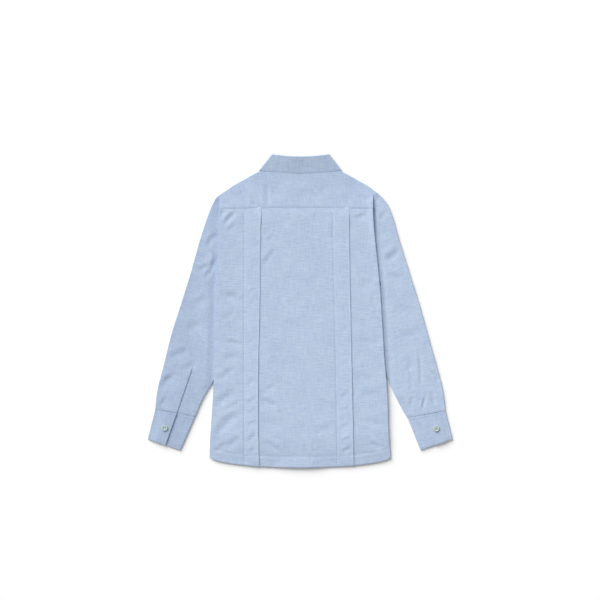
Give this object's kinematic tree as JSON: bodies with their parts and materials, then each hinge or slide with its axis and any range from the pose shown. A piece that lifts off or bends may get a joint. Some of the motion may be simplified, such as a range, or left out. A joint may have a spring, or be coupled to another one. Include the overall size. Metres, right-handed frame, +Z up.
{
  "type": "long-sleeved shirt with raised back tucks",
  "caption": "Button-front long-sleeved cotton shirt laid flat and face down, with a turned-down collar, a yoke, two raised back tucks, a rounded hem and buttoned cuffs.",
  "frame": {"origin": "middle of the bounding box, on the surface that the shirt lies on", "axes": "+Z up, away from the surface; +Y from the hem to the collar; +X to the right of someone who looks down at the shirt's back, which is the wearer's right"},
  "size_m": [0.5797, 0.5935, 0.009],
  "materials": {
    "cloth": "matte pale blue cotton with fine slubs across",
    "yoke_cloth": "matte pale blue cotton with fine slubs up and down",
    "stiffened_cloth": "matte pale blue cotton, stiffened and edge-stitched",
    "button": "satin pale grey, four holes"
  },
  "bodies": {
    "root": {"back": "cloth", "yoke": "yoke_cloth", "front_left": "cloth", "front_right": "cloth", "sleeve_left": "cloth", "sleeve_right": "cloth", "cuff_left": "stiffened_cloth", "cuff_right": "stiffened_cloth", "collar": "stiffened_cloth", "collar_stand": "stiffened_cloth", "cuff_button_left": "button", "cuff_button_right": "button", "front_button_1": "button", "front_button_2": "button", "front_button_3": "button", "front_button_4": "button", "front_button_5": "button", "front_button_6": "button", "collar_button": "button"}
  },
  "joints": []
}
